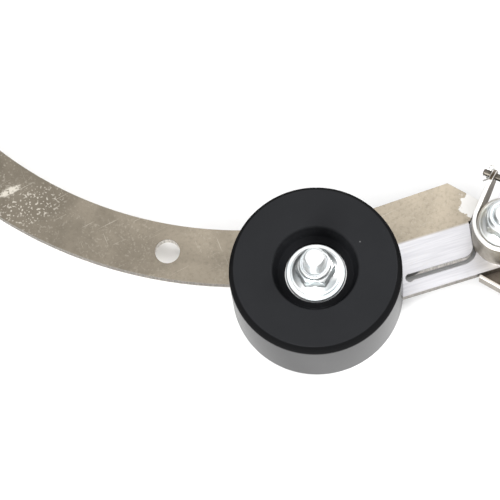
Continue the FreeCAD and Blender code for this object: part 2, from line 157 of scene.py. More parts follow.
# %% Rounded outline
def rounded(corners, steps=5):
    """A closed outline of (radius, height, rounding) corners in millimetres, as an array in metres. The
    arc at a corner starts rounding / tan(half the corner's angle) from it, and its centre lies on the
    line that halves the corner."""
    places = [Vector(corner[:2]) for corner in corners]
    found = []
    for number, corner in enumerate(corners):
        here = places[number]
        back = places[number - 1] - here
        ahead = places[(number + 1) % len(places)] - here
        half = back.angle(ahead) / 2
        room = 0.48 * min(back.length, ahead.length)
        reach = min(corner[2] / math.tan(half), room)
        if reach < 1e-4:
            found.append(np.array([here]))
            continue
        size = reach * math.tan(half)
        middle = here + (back.normalized() + ahead.normalized()).normalized() * size / math.sin(half)
        start = here + back.normalized() * reach - middle
        side = 1 if back.cross(ahead) < 0 else -1
        turn = side * (math.pi - 2 * half) * np.linspace(0, 1, steps + 1)
        arc_x = middle.x + start.x * np.cos(turn) - start.y * np.sin(turn)
        arc_y = middle.y + start.x * np.sin(turn) + start.y * np.cos(turn)
        found.append(np.stack([arc_x, arc_y], axis=-1))
    return np.concatenate(found) * MM


def circle(count):
    """Evenly spaced angles round a full turn."""
    return np.linspace(0, 2 * math.pi, count, endpoint=False)


def turned_grid(profile, centre, columns):
    """A profile of (radius, height) carried round an upright axis: x = radius times the cosine of the
    angle, y = radius times its sine, z = height."""
    angle = circle(columns)
    radius = profile[:, :1]
    x = centre[0] + radius * np.cos(angle)
    y = centre[1] + radius * np.sin(angle)
    return np.stack([x, y, profile[:, 1:] + 0 * angle], axis=-1)


# %% [markdown]
# ## The roller
#
# The roller is moulded in one piece: a flat annular face, a rounded shoulder, a straight tread, and a
# tapered recess that gives room for the nut. Inside are two bearing seats with a step between them. A
# profile turned about the axle gives all of it at once, with different roundings at each corner.

# %% Roller
rear_low, rear_high = (value / MM for value in heights("rear_outer_race"))
front_low, front_high = (value / MM for value in heights("front_outer_race"))
back_z, face_z, tread_r = wheel_low.z / MM, WHEEL_FACE / MM, WHEEL_RADIUS / MM
FLAT_FACE_RADIUS = 35.3
RECESS_MOUTH, RECESS_FLOOR, RECESS_DEPTH = 18.85, 16.5, 7.7
BEARING_SEAT, SEAT_STEP, LIP = 15.02, 12.9, 13.4
roller_corners = [
    (BEARING_SEAT, rear_low, 0),
    (17.6, back_z, 0.3),
    (36.0, back_z, 1.2),
    (tread_r, back_z + 2.5, 1.6),
    (tread_r, face_z - 5.0, 5.5),
    (tread_r - 0.6, face_z - 2.1, 2.6),
    (FLAT_FACE_RADIUS, face_z, 0.55),
    (RECESS_MOUTH, face_z, 0.7),
    (RECESS_FLOOR, face_z - RECESS_DEPTH, 1.0),
    (LIP, face_z - RECESS_DEPTH, 0.4),
    (LIP, front_high, 0),
    (BEARING_SEAT, front_high, 0),
    (BEARING_SEAT, front_low, 0),
    (SEAT_STEP, front_low, 0.3),
    (SEAT_STEP, rear_high, 0.3),
    (BEARING_SEAT, rear_high, 0),
]
roller = surface("roller", turned_grid(rounded(roller_corners), AXLE, 256))
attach(roller, "wheel")
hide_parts("wheel_body")

# %% [markdown]
# ## Washers, spacers and bushes
#
# These are plain rings cut from bar or stamped from sheet. Their outer radius and heights are the CAD
# node's, and only the bore and the rounding of the edges are added here.

# %% Rings
def ring_corners(node, bore, rounding):
    """The outline of a ring: a rectangle from the bore to the node's outer radius."""
    low, high = (value / MM for value in heights(node))
    outer = outer_radius(node) / MM
    corners = [(bore, low), (outer, low), (outer, high), (bore, high)]
    return [(*corner, rounding) for corner in corners]


SMALL_BORE, SLEEVE_BORE = 5.1, 8.05
RINGS = {
    "front_washer": (AXLE, SMALL_BORE, 0.5, "arm", "bright_zinc"),
    "head_washer": (AXLE, SMALL_BORE, 0.4, "arm", "bright_zinc"),
    "hub_spacer": (AXLE, SMALL_BORE, 0.3, "arm", "plain_steel"),
    "bearing_spacer": (AXLE, SMALL_BORE, 0.3, "arm", "plain_steel"),
    "pivot_sleeve": (PIVOT, SMALL_BORE, 0.3, "bracket", "plain_steel"),
    "arm_spacer_ring": (PIVOT, SLEEVE_BORE, 0.3, "bracket", "plain_steel"),
    "yoke_bush": (PIVOT, SLEEVE_BORE, 0.4, "bracket", "plain_steel"),
}
ring_pieces = {}
for node, (centre, bore, rounding, body, slot) in RINGS.items():
    profile = rounded(ring_corners(node, bore, rounding), steps=4)
    piece = surface(f"{node}_ring", turned_grid(profile, centre, 128))
    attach(piece, body)
    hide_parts(node)
    ring_pieces[piece] = slot

# %% [markdown]
# ## Seals
#
# A sealed bearing shows a rubber ring on each side. It is thin at its lip, where it runs on the inner
# race, and has a shallow groove round its middle, so a flat ring would look wrong beside it.

# %% Bearing seals
def seal_corners(low, high, outwards):
    """A seal between two heights. outwards is 1 where its open side faces up and -1 where it faces down."""
    lip, rim, groove = 8.75, 11.38, 0.3
    inner_side, outer_side = (low, high) if outwards > 0 else (high, low)
    dip = outer_side - outwards * groove
    shape = [
        (lip, inner_side), (rim, inner_side), (rim, outer_side), (10.9, outer_side),
        (10.5, dip), (9.5, dip), (9.1, outer_side), (lip, outer_side),
    ]
    return [(*corner, 0.12) for corner in shape]


SEAL_THICKNESS = 0.8
seal_pieces = []
for side in ("rear", "front"):
    low, high = (value / MM for value in heights(f"{side}_seals"))
    lower = rounded(seal_corners(low, low + SEAL_THICKNESS, -1), steps=3)
    upper = rounded(seal_corners(high - SEAL_THICKNESS, high, 1), steps=3)
    grids = [turned_grid(profile, AXLE, 96) for profile in (lower, upper)]
    piece = surface(f"{side}_bearing_seals", *grids)
    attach(piece, "wheel")
    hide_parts(f"{side}_seals")
    seal_pieces.append(piece)

# %% [markdown]
# ## Nuts with a flange and a crimped collar
#
# A locking flange nut is a hexagon that grows out of a dished flange and carries a round collar on top,
# crimped over a nylon ring. All three are one surface here. At each height the radius is the larger of a
# round outline and a hexagon, and the hexagon is itself cut back by a limit that falls near the top,
# which draws the curved chamfer lines on its corners.

# %% Flange nuts
HEX_ACROSS = 15.0


def hexagon_radius(angle, across, turn):
    """How far the side of a hexagon is from its centre at each angle: half the width across flats over
    the cosine of the angle from the nearest flat's middle."""
    step = math.pi / 3
    from_flat = np.mod(angle - turn, step) - step / 2
    return across / 2 / np.cos(from_flat)


def smaller(first, second, sharpness=60):
    """The smaller of two radii with a slightly softened crossing, from a power mean."""
    top = np.maximum(np.maximum(first, second), 1e-9)
    return top * ((first / top) ** -sharpness + (second / top) ** -sharpness) ** (-1 / sharpness)


def hexed_grid(outline, centre, base, across, turn=0.0, columns=144):
    """Rows of (height, round radius, hexagon limit) in millimetres. The radius at an angle is the larger
    of the round radius and the hexagon's, cut back to its limit."""
    rows = np.array(outline, float)
    angle = circle(columns)
    side = hexagon_radius(angle, across, turn)[None, :]
    round_radius, limit = rows[:, 1:2], rows[:, 2:]
    flats = smaller(side, np.maximum(limit, 0.1))
    radius = np.where(limit > 0, np.maximum(round_radius, flats), round_radius)
    x = centre[0] + MM * radius * np.cos(angle)
    y = centre[1] + MM * radius * np.sin(angle)
    z = base + MM * rows[:, :1] + 0 * angle
    return np.stack([x, y, z], axis=-1)


def ramp_rows(first, last, count):
    """Evenly spaced rows from one (height, round radius, limit) to another."""
    return [tuple(row) for row in np.linspace(first, last, count)]


NUT_CORNER = HEX_ACROSS / math.sqrt(3)
nut_outline = [
    (0.6, 5.0, 0),
    (0, 5.6, 0),
    (0, 10.6, 0),
    (0.12, 10.88, 0),
    (0.35, 11.0, 0),
    (0.7, 11.0, 0),
    (0.92, 10.9, 0),
    (1.05, 10.6, 0),
    *ramp_rows((1.15, 10.2, NUT_CORNER), (2.7, 7.9, NUT_CORNER), 12),
    (3.0, 7.0, NUT_CORNER),
    *ramp_rows((9.2, 7.0, NUT_CORNER), (10.1, 7.0, 7.45), 10),
    (10.2, 7.0, 7.3),
    (10.22, 7.15, 0),
    (10.35, 7.03, 0),
    (10.6, 7.0, 0),
    (12.4, 7.0, 0),
    (12.75, 6.93, 0),
    (13.05, 6.75, 0),
    (13.28, 6.45, 0),
    (13.38, 6.15, 0),
    (13.36, 5.98, 0),
    (13.2, 5.92, 0),
    (10.4, 5.98, 0),
    (10.4, 5.0, 0),
]
NUTS = {"axle": (AXLE, 0.0, "arm"), "pivot": (PIVOT, math.radians(30), "bracket")}
nut_pieces, insert_pieces = [], []
for side, (centre, turn, body) in NUTS.items():
    base = heights(f"{side}_nut")[0]
    piece = surface(f"{side}_flange_nut", hexed_grid(nut_outline, centre, base, HEX_ACROSS, turn), sharp=28)
    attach(piece, body)
    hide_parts(f"{side}_nut")
    nut_pieces.append(piece)
    corners = ring_corners(f"{side}_nut_insert", 5.0, 0.45)
    insert = surface(f"{side}_nylon_ring", turned_grid(rounded(corners), centre, 96))
    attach(insert, body)
    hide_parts(f"{side}_nut_insert")
    insert_pieces.append(insert)

# %% [markdown]
# ## Threads
#
# A thread is a groove that climbs one pitch in each turn. Its depth at a point depends on height over
# pitch minus the angle as a share of a turn, so one formula for the radius gives the whole helix. Only
# the stretch that shows above the nut is cut, because the rest is hidden.

# %% Axle bolt and pivot stud
PITCH, THREAD_DEPTH, THREAD_RADIUS, END_CHAMFER = 1.5, 0.55, 4.95, 1.1
ROW_STEP = 0.11
HEAD_ACROSS, FOOT_RADIUS, HIDDEN_THREAD = 16.0, 7.0, 1.0


def thread_grid(low, high, centre, columns=144):
    """A thread between two heights in millimetres. The depth follows a triangle wave of height / pitch
    minus angle / full turn, with flat crests, and the last part is cut back by the end's chamfer."""
    height = np.arange(low, high - END_CHAMFER * 0.15, ROW_STEP)[:, None]
    angle = circle(columns)[None, :]
    phase = np.mod(height / PITCH - angle / (2 * math.pi), 1)
    wave = np.clip(np.abs(phase - 0.5) * 2.6 - 0.2, 0, 1)
    fade_in = np.clip((height - low) / PITCH, 0, 1)
    radius = THREAD_RADIUS - THREAD_DEPTH * (1 - wave) * fade_in
    limit = THREAD_RADIUS - np.maximum(height - (high - END_CHAMFER), 0) * 1.1
    radius = np.minimum(radius, limit)
    x = centre[0] + MM * radius * np.cos(angle)
    y = centre[1] + MM * radius * np.sin(angle)
    return np.stack([x, y, MM * height + 0 * x], axis=-1)


def end_rows(high, centre):
    """The rounded-over tip above the chamfer, closed in a pole."""
    rim = THREAD_RADIUS - END_CHAMFER * 0.95
    rows = [(high - 0.14, rim, 0), (high - 0.05, rim - 0.25, 0), (high, rim - 0.7, 0), (high, 0, 0)]
    return hexed_grid(rows, centre, 0, HEX_ACROSS)


def bolt_grid(foot_rows, thread_from, high, centre):
    """One grid from the pole under the foot, up the plain shank and the thread, to the tip's pole."""
    foot = hexed_grid(foot_rows, centre, 0, HEAD_ACROSS)
    return np.concatenate([foot, thread_grid(thread_from, high, centre), end_rows(high, centre)])


head_low, bolt_high = (value / MM for value in heights("axle_bolt"))
head_high = heights("head_washer")[0] / MM
HEAD_CORNER = HEAD_ACROSS / math.sqrt(3)
head_rows = [
    (head_low, 0, 0),
    (head_low, 6.9, 0),
    (head_low + 0.03, 7.2, 7.3),
    *ramp_rows((head_low + 0.1, 1, 7.6), (head_low + 0.95, 1, HEAD_CORNER + 0.1), 9),
    (head_high - 0.1, 1, HEAD_CORNER + 0.1),
    (head_high, 1, HEAD_CORNER - 0.1),
    (head_high, THREAD_RADIUS, 0),
]
thread_from = heights("axle_nut")[1] / MM - HIDDEN_THREAD
axle_piece = surface("axle_bolt_threaded", bolt_grid(head_rows, thread_from, bolt_high, AXLE), along=False)
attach(axle_piece, "arm")
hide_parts("axle_bolt")

stud_low, stud_high = (value / MM for value in heights("pivot_stud"))
foot_high = heights("pivot_sleeve")[0] / MM
foot_rows = [
    (stud_low, 0, 0),
    (stud_low, FOOT_RADIUS - 0.4, 0),
    (stud_low + 0.4, FOOT_RADIUS, 0),
    (foot_high, FOOT_RADIUS, 0),
    (foot_high, THREAD_RADIUS, 0),
]
thread_from = heights("pivot_nut")[1] / MM - HIDDEN_THREAD
stud_piece = surface("pivot_stud_threaded", bolt_grid(foot_rows, thread_from, stud_high, PIVOT), along=False)
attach(stud_piece, "bracket")
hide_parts("pivot_stud")

# %% [markdown]
# ## Pressed and bent sheet pieces
#
# The arm, the bracket, the strap and the cross pin already have the right shape in the CAD frame. What
# they lack is the small radius that shearing and tumbling leave on every edge. A copy of the CAD mesh is
# welded, its flat areas are made into single faces, and its sharp edges are bevelled. The bevelled faces
# are marked with an attribute, so that a finish can be duller or brighter there.

# %% Softened copies
EDGE_MARK = "edge_wear"
CORNER_ANGLE, FLAT_ANGLE = math.radians(28), math.radians(0.3)


def softened(node, name, width):
    """A copy of a CAD node with every edge over the corner angle rounded to about the given width."""
    work = bmesh.new()
    work.from_mesh(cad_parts[node].data)
    bmesh.ops.remove_doubles(work, verts=work.verts, dist=2e-6)
    bmesh.ops.dissolve_degenerate(work, edges=work.edges, dist=1e-7)
    bmesh.ops.dissolve_limit(work, angle_limit=FLAT_ANGLE, verts=work.verts, edges=work.edges)
    mark = work.faces.layers.float.new(EDGE_MARK)
    sharp = [
        edge
        for edge in work.edges
        if len(edge.link_faces) == 2 and edge.calc_face_angle() > CORNER_ANGLE
    ]
    made = bmesh.ops.bevel(
        work,
        geom=sharp,
        offset=width,
        offset_type="OFFSET",
        segments=3,
        profile=0.5,
        affect="EDGES",
        clamp_overlap=True,
    )
    for face in made["faces"]:
        face[mark] = 1.0
    mesh = bpy.data.meshes.new(name)
    work.to_mesh(mesh)
    work.free()
    piece = finished(name, mesh, sharp=40)
    even = piece.modifiers.new("even_normals", "WEIGHTED_NORMAL")
    even.keep_sharp = True
    return piece


SHEET_PIECES = {
    "arm_plate": ("curved_arm", 0.45, "arm", "zinc_strip"),
    "hinge_bracket": ("bracket_channel", 0.4, "bracket", "bracket_steel"),
    "yoke_strap": ("bent_strap", 0.3, "yoke", "strap_steel"),
    "clevis_pin": ("cross_pin_rod", 0.2, "cross_pin", "pin_steel"),
}
sheet_pieces = {}
for node, (name, width, body, slot) in SHEET_PIECES.items():
    piece = softened(node, name, width * MM)
    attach(piece, body)
    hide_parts(node)
    sheet_pieces[slot] = piece

# %% [markdown]
# ## Split pin
#
# A split pin is one wire: up one leg, round an eye, and down the other leg, with the two ends bent apart
# so that it can't fall out. It lies flat, across the cross pin. A circle carried along a line gives it:
# straight legs joined by an arc for the eye, in the strap's own directions.

# %% Split pin
YOKE_TURN = math.radians(-23)
PIN_OUT, EYE_ALONG, LEG_BEND = -15.4, 24.2, 18.7
WIRE_RADIUS, EYE_RADIUS, LEG_GAP = 0.35, 1.0, 0.37


def wire_path(steps=40):
    """Points along the wire, in millimetres from the cross hole: a bent leg, the eye's arc, a bent leg."""
    open_angle = math.acos(LEG_GAP / EYE_RADIUS)
    sweep = np.linspace(math.pi + open_angle, -open_angle, steps)
    eye = np.stack([EYE_RADIUS * np.cos(sweep), EYE_ALONG + EYE_RADIUS * np.sin(sweep)], axis=-1)
    far_leg = [(-4.17, 0), (-1.2, 0), (-0.62, 0.1), (-0.41, 0.35), (-LEG_GAP, 0.8)]
    near_leg = [(LEG_GAP, 0.8), (0.33, 0.3), (0.18, -0.05), (-0.1, -0.47), (-1.47, -1.84)]
    rise = [0, LEG_BEND]
    flat = np.concatenate([np.add(far_leg, rise), eye, np.add(near_leg, rise)]) + [PIN_OUT, 0]
    cos, sin = math.cos(YOKE_TURN), math.sin(YOKE_TURN)
    pin_low, pin_high = heights("split_pin")
    height = np.full(len(flat), (pin_low + pin_high) / 2)
    x = flat[:, 0] * cos - flat[:, 1] * sin
    y = flat[:, 0] * sin + flat[:, 1] * cos
    return np.stack([x * MM, y * MM, height], axis=-1)


def swept_grid(path, radius, columns=20):
    """A circle carried along a level path. At each point it lies across the path's direction, found from
    the neighbouring points, and both ends close in a pole."""
    ahead = np.gradient(path, axis=0)
    ahead /= np.linalg.norm(ahead, axis=1, keepdims=True)
    across = np.cross(ahead, [0, 0, 1])
    angle = circle(columns)[None, :, None]
    ring = radius * (np.cos(angle) * across[:, None] + np.sin(angle) * np.array([0, 0, 1]))
    tube = path[:, None] + ring
    poles = [np.repeat(path[end][None, None], columns, axis=1) for end in (0, -1)]
    return np.concatenate([poles[0], tube, poles[1]])


split_piece = surface("split_pin_wire", swept_grid(wire_path(), WIRE_RADIUS * MM), along=False, sharp=60)
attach(split_piece, "cross_pin")
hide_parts("split_pin")

# %% [markdown]
# ## Writing shaders as sums
#
# A finish is worked out from patterns, and patterns are numbers. The small class below wraps an output
# of a node, so that a sum or a product of two of them adds the Math node that does it.

# %% Numbers in a shader
class Signal:
    """One output of a shader node, with arithmetic."""

    def __init__(self, shader, socket):
        self.shader = shader
        self.socket = socket

    def maths(self, operation, *values):
        return self.shader.node("ShaderNodeMath", {"operation": operation}, dict(enumerate(values)))

    def __add__(self, other):
        return self.maths("ADD", self, other)

    def __radd__(self, other):
        return self.maths("ADD", other, self)

    def __sub__(self, other):
        return self.maths("SUBTRACT", self, other)

    def __rsub__(self, other):
        return self.maths("SUBTRACT", other, self)

    def __mul__(self, other):
        return self.maths("MULTIPLY", self, other)

    def __rmul__(self, other):
        return self.maths("MULTIPLY", other, self)

    def larger(self, other):
        return self.maths("MAXIMUM", self, other)

    def step(self, low, high):
        """0 below low, 1 above high, and a smooth slope between them. low may be the larger one."""
        inputs = {"Value": self, "From Min": low, "From Max": high}
        return self.shader.node("ShaderNodeMapRange", {"interpolation_type": "SMOOTHSTEP"}, inputs)


# %% [markdown]
# ## One method for every node
#
# A material and a sky are both a tree of nodes that ends in one shader. One class builds either: its
# node method makes any node from its type, its settings and its inputs, and drive feeds the shader.
# A material then only needs the few patterns that metal and plastic are made of.

# %% Trees of nodes
class Tree:
    """The nodes of a material or a sky, built round its one shader."""

    def __init__(self, owner, shader, constants):
        owner.use_nodes = True
        self.owner = owner
        self.nodes = owner.node_tree.nodes
        self.links = owner.node_tree.links
        self.shader = self.nodes[shader]
        self.drive(constants)

    def feed(self, socket, value):
        if isinstance(value, Signal):
            self.links.new(value.socket, socket)
        else:
            socket.default_value = value

    def drive(self, sockets):
        for name, value in sockets.items():
            self.feed(self.shader.inputs[name], value)

    def node(self, kind, settings=None, inputs=None, output=0):
        """A node of any type: its settings first, then the values or links of its sockets."""
        made = self.nodes.new(kind)
        for name, value in (settings or {}).items():
            setattr(made, name, value)
        for socket, value in (inputs or {}).items():
            self.feed(made.inputs[socket], value)
        return Signal(self, made.outputs[output])

    def vector(self, operation, *values, output=0):
        return self.node("ShaderNodeVectorMath", {"operation": operation}, dict(enumerate(values)), output)

    def length(self, vector):
        return self.vector("LENGTH", vector, output="Value")

    def part(self, vector, axis):
        """One of a vector's three numbers."""
        return self.node("ShaderNodeSeparateXYZ", None, {0: vector}, output=axis)

    def mix(self, share, first, second):
        """first where share is 0 and second where it is 1, both colours."""
        inputs = {0: share, 6: first, 7: second}
        return self.node("ShaderNodeMix", {"data_type": "RGBA", "clamp_factor": True}, inputs, output=2)


class Finish(Tree):
    """A material, with the patterns that the finishes share."""

    def __init__(self, name, constants):
        super().__init__(bpy.data.materials.new(name), "Principled BSDF", constants)

    def place(self, centre=(0, 0, 0), turn=0.0, stretch=(1, 1, 1)):
        """Object coordinates seen from a centre, turned about z, and then stretched along each axis."""
        moved = self.vector("SUBTRACT", self.node("ShaderNodeTexCoord", output="Object"), centre)
        about_z = {"rotation_type": "Z_AXIS"}
        aimed = self.node("ShaderNodeVectorRotate", about_z, {"Vector": moved, "Angle": turn})
        return self.vector("MULTIPLY", aimed, stretch)

    def noise(self, vector, size, detail=3.0, roughness=0.55, distortion=0.0):
        """Cloudy noise whose patches are about the given size, in metres."""
        inputs = {"Vector": vector, "Scale": 1 / size, "Detail": detail, "Roughness": roughness}
        return self.node("ShaderNodeTexNoise", None, {**inputs, "Distortion": distortion})

    def cells(self, vector, size):
        """Distance to the nearest of scattered points that are about size apart."""
        return self.node("ShaderNodeTexVoronoi", None, {"Vector": vector, "Scale": 1 / size})

    def edge(self):
        """1 on the rounded edges of a softened piece."""
        return self.node("ShaderNodeAttribute", {"attribute_name": EDGE_MARK}, output="Fac")

    def bump(self, height, depth):
        return self.node("ShaderNodeBump", None, {"Height": height, "Distance": depth})


def colour(red, green, blue):
    return (red, green, blue, 1.0)


def scratches(finish, centre, turn, length, width, threshold=0.70):
    """Thin marks in one direction: noise drawn out along it, of which only the highest crests are kept."""
    lines = finish.place(centre, turn, (width / length, 1, 1))
    return finish.noise(lines, width, 2.0, 0.5).step(threshold, threshold + 0.05)


def paint(piece, finish):
    """The piece's only material becomes the finish."""
    piece.data.materials.clear()
    piece.data.materials.append(finish.owner)
    print(f"{piece.name} painted {finish.owner.name}")


# %% [markdown]
# ## Finish: worn zinc on the arm
#
# The arm is flat steel with a thin yellowish zinc coat, and most of its look is wear. The patterns are
# laid out in the arm's own directions, from the axle: along points to the pivot's end and across to the
# rear edge. Only the streak and the cluster at the free end are placed by the object's own x and y,
# because each is stretched in a direction of its own.

# %% Places on the arm
ARM_BASE, ARM_TOP = heights("arm_plate")
ARM_CENTRE = (*AXLE, 0)
STREAK_CENTRE = (-0.2195, 0.0212, ARM_TOP)
CLUSTER_CENTRE = (-0.2115, 0.0133, ARM_TOP)
OPEN_HOLE = (-0.05785, 0.03985, ARM_TOP)
RELIEF_HOLE = (0.0410, -0.0042, ARM_TOP)
PLATE_TIP = (0.0780, 0.0200, ARM_TOP)


def near(finish, arm, place):
    """How far a point is from a place that is given along and across the arm."""
    return finish.length(finish.vector("SUBTRACT", arm, place))


print("arm from", round(ARM_BASE / MM, 2), "to", round(ARM_TOP / MM, 2), "mm")

# %% [markdown]
# ## The arm's coat and its wear
#
# The coat is cloudy and dark in its pores, and painted light makes it paler towards the pivot and darker
# towards the free end. Grit has chipped it in loose patches and in a cluster beside a rubbed streak at
# the free end, and handling has scratched it in two directions. Chips are the peaks of a fine noise, kept
# only where a coarser one allows them.

# %% Coat, scratches and chips
def arm_coat(finish, along, cloud, grain):
    """Two zinc tones mixed by cloud, each of them painted paler towards the pivot as painted light, with
    dark pores.
    """
    # Painted light: the coat is painted about three times paler at the pivot's end than at the free end.
    painted_light_to_pivot = along.step(-0.16, 0.10)
    dull = finish.mix(painted_light_to_pivot, colour(0.150, 0.131, 0.103), colour(0.44, 0.385, 0.305))
    warm = finish.mix(painted_light_to_pivot, colour(0.215, 0.189, 0.150), colour(0.56, 0.49, 0.39))
    coat = finish.mix(cloud.step(0.35, 0.68), dull, warm)
    return finish.mix(grain.step(0.45, 0.75) * 0.30, coat, colour(0.15, 0.13, 0.10))


def arm_scratches(finish):
    """The larger of two sets of scratches, one not far from the arm's direction and one steeply across."""
    slanting = scratches(finish, ARM_CENTRE, -0.5, 0.026, 0.0005)
    steep = scratches(finish, ARM_CENTRE, 1.2, 0.016, 0.0004, 0.72)
    return slanting.larger(steep)


def arm_wear(finish, along, grain, marks, ragged):
    """How much of the coat is gone: the largest of chips, scratches and the rubbed streak."""
    fine = finish.place()
    cluster = finish.length(finish.place(CLUSTER_CENTRE, -0.4, (0.55, 1, 1))).step(0.013, 0.004)
    patchy = finish.noise(fine, 0.018).step(0.40, 0.58) * (0.18 + 0.40 * along.step(-0.095, -0.150))
    chips = finish.noise(fine, 0.0011, 2.0, 0.5).step(0.56, 0.66) * patchy.larger(cluster)
    from_streak = finish.length(finish.place(STREAK_CENTRE, -0.55, (0.28, 1, 1))) + ragged * 0.005
    rubbed = from_streak.step(0.0044, 0.0034) * grain.step(0.36, 0.48)
    return (chips * 0.62).larger(marks * 0.4).larger(rubbed * 0.8)


# %% [markdown]
# ## The arm's pressed end and its cut faces
#
# The flap behind the slot and the tongue in front of it are painted a brushed silver, a painted reflection
# of bright surroundings. A sheared wall is torn into upright lines. It is dull grey along the outline, and
# painted light makes it paler in the slot and the open hole.

# %% Silver zone and sheared walls
def arm_painted_reflection(finish, brushed):
    """Brushed silver, a painted reflection, from noise drawn out along the arm."""
    return finish.mix(brushed.step(0.2, 0.8), colour(0.64, 0.635, 0.665), colour(0.80, 0.795, 0.82))


def arm_walls(finish, arm, along, across, torn):
    """The colour of a sheared wall: one pair of tones outside, and a paler pair in the slot and hole, which
    is painted light.
    """
    in_slot = along.step(0.038, 0.042) * across.step(-0.0105, -0.0080) * across.step(0.0125, 0.0110)
    in_hole = near(finish, arm, OPEN_HOLE).step(0.0090, 0.0075)
    outside = finish.mix(torn.step(0.35, 0.7), colour(0.17, 0.155, 0.135), colour(0.30, 0.28, 0.25))
    # Painted light: the walls in the slot and the open hole are painted paler than those outside.
    painted_lit_walls = finish.mix(torn.step(0.35, 0.7), colour(0.50, 0.47, 0.44), colour(0.85, 0.82, 0.77))
    return finish.mix(in_slot.larger(in_hole), outside, painted_lit_walls)


# %% [markdown]
# ## The arm's finish put together
#
# The finish is a list of layers, each a share and a colour, mixed one over the other: the painted
# reflection of the silver zone, dull sheared edges, cut faces, the clean underside, wear, the bare patch
# by the tip of the plate, and last painted shade, near black, in the relief hole and under the plate.

# %% Arm finish
def arm_finish():
    """Each layer covers the ones before it by its share."""
    finish = Finish("worn_zinc", {"Metallic": 1.0, "Specular IOR Level": 0.5})
    arm = finish.place(ARM_CENTRE, -ARM_TURN)
    along, across, height = (finish.part(arm, axis) for axis in "XYZ")
    fine = finish.place()
    cloud = finish.noise(fine, 0.030, 4.0, 0.6, 0.4)
    grain = finish.noise(fine, 0.0016, 4.0, 0.7)
    ragged = finish.noise(fine, 0.005, 6.0, 0.75)
    brushed = finish.noise(finish.place(ARM_CENTRE, -ARM_TURN, (0.05, 1, 1)), 0.0008, 3.0, 0.6)
    torn = finish.noise(finish.place((0, 0, 0), 0, (1, 1, 0.12)), 0.0007, 4.0, 0.6)
    marks = arm_scratches(finish)
    # Painted reflection: the flap and the tongue are painted a brushed silver.
    painted_reflection_zone = across.step(0.0130, 0.0115) * along.step(0.010, 0.034)
    cut_face = height.step(ARM_TOP - 0.0004, ARM_TOP - 0.0007)
    underside = height.step(ARM_BASE + 0.0003, ARM_BASE + 0.0001)
    bare = (near(finish, arm, PLATE_TIP) + ragged * 0.012).step(0.0120, 0.0114)
    # Painted shade: near black under the plate on the pivot's side of the axle and on the relief hole's
    # wall.
    painted_shade = underside * along.step(0.0, 0.03)
    painted_shade = painted_shade.larger(near(finish, arm, RELIEF_HOLE).step(0.0062, 0.0048) * cut_face)
    worn = arm_wear(finish, along, grain, marks, ragged)
    layers = [
        (painted_reflection_zone, arm_painted_reflection(finish, brushed)),
        (finish.edge() * 0.8, colour(0.13, 0.12, 0.105)),
        (cut_face, arm_walls(finish, arm, along, across, torn)),
        (underside, colour(0.72, 0.69, 0.64)),
        (worn * (1 - cut_face), colour(0.76, 0.715, 0.63)),
        (bare * (1 - cut_face), colour(0.86, 0.845, 0.82)),
        (painted_shade, colour(0.020, 0.018, 0.016)),
    ]
    base = arm_coat(finish, along, cloud, grain)
    for share, tone in layers:
        base = finish.mix(share, base, tone)
    rough = 0.40 + grain * 0.14 - painted_reflection_zone * 0.10 + cloud * 0.06
    relief = grain * 0.6 + brushed * 0.25 - marks * 0.5 + torn * cut_face
    finish.drive({"Base Color": base, "Roughness": rough, "Normal": finish.bump(relief, 0.00005)})
    return finish


paint(sheet_pieces["zinc_strip"], arm_finish())

# %% [markdown]
# ## Finish: black roller
#
# The roller is black plastic. Its face has the fine matte texture of the mould, and its recess is painted
# darker as painted shade. The shoulder is painted almost black, also painted shade, and the tread below it
# is polished by running. A clear coat gives all of the shine: much of it on the tread, from a little way
# below the face, and next to none elsewhere. A few pale specks of dust lie on the roller, and the tread
# has faint running marks.

# %% Roller finish
POLISH_START, POLISH_FULL = 4.0 * MM, 5.6 * MM


def roller_finish():
    """The zones of the profile, by distance from the axle and by height, each with its own black; the darker
    black beyond the flat face and in the recess is painted shade.
    """
    finish = Finish("black_plastic", {"Metallic": 0.0, "Specular IOR Level": 0.0, "Coat Roughness": 0.15})
    here = finish.place((*AXLE, 0))
    radius = finish.length(finish.place((*AXLE, 0), 0, (1, 1, 0)))
    height = finish.part(here, "Z")
    shoulder = radius.step(FLAT_FACE_RADIUS * MM - 0.0001, FLAT_FACE_RADIUS * MM + 0.0004)
    recess = radius.step(RECESS_MOUTH * MM - 0.0001, RECESS_MOUTH * MM - 0.0006)
    tread = height.step(WHEEL_FACE - POLISH_START, WHEEL_FACE - POLISH_FULL) * shoulder
    texture = finish.noise(here, 0.0004, 3.0, 0.6)
    cloud = finish.noise(here, 0.02, 3.0, 0.6)
    dust = finish.cells(here, 0.0085).step(0.055, 0.02) * finish.noise(here, 0.004).step(0.5, 0.62)
    base = finish.mix(cloud, colour(0.0150, 0.0155, 0.0168), colour(0.0190, 0.0196, 0.0212))
    # Painted shade: beyond the flat face the black is painted darker still, and the recess darker than the
    # face.
    base = finish.mix(shoulder, base, colour(0.0065, 0.0066, 0.0070))
    base = finish.mix(recess, base, colour(0.0085, 0.0088, 0.0098))
    base = finish.mix(dust * 0.5, base, colour(0.25, 0.25, 0.25))
    rings = finish.noise(finish.place((*AXLE, 0), 0, (0.02, 0.02, 1)), 0.0009, 2.0, 0.5)
    relief = texture * (1 - shoulder * 0.7) + rings * tread * 0.25
    finish.drive({
        "Base Color": base,
        "Roughness": 0.60 + texture * 0.08,
        "Coat Weight": 0.04 - shoulder * 0.01 + tread * 0.56,
        "Normal": finish.bump(relief, 0.00003),
    })
    return finish


paint(roller, roller_finish())

# %% [markdown]
# ## Finish: bright zinc
#
# New fasteners are electroplated and passivated. The coat is bright with a cool, faintly blue cast that
# fades here and there. It is smooth, but a fine grain keeps it from being a mirror.

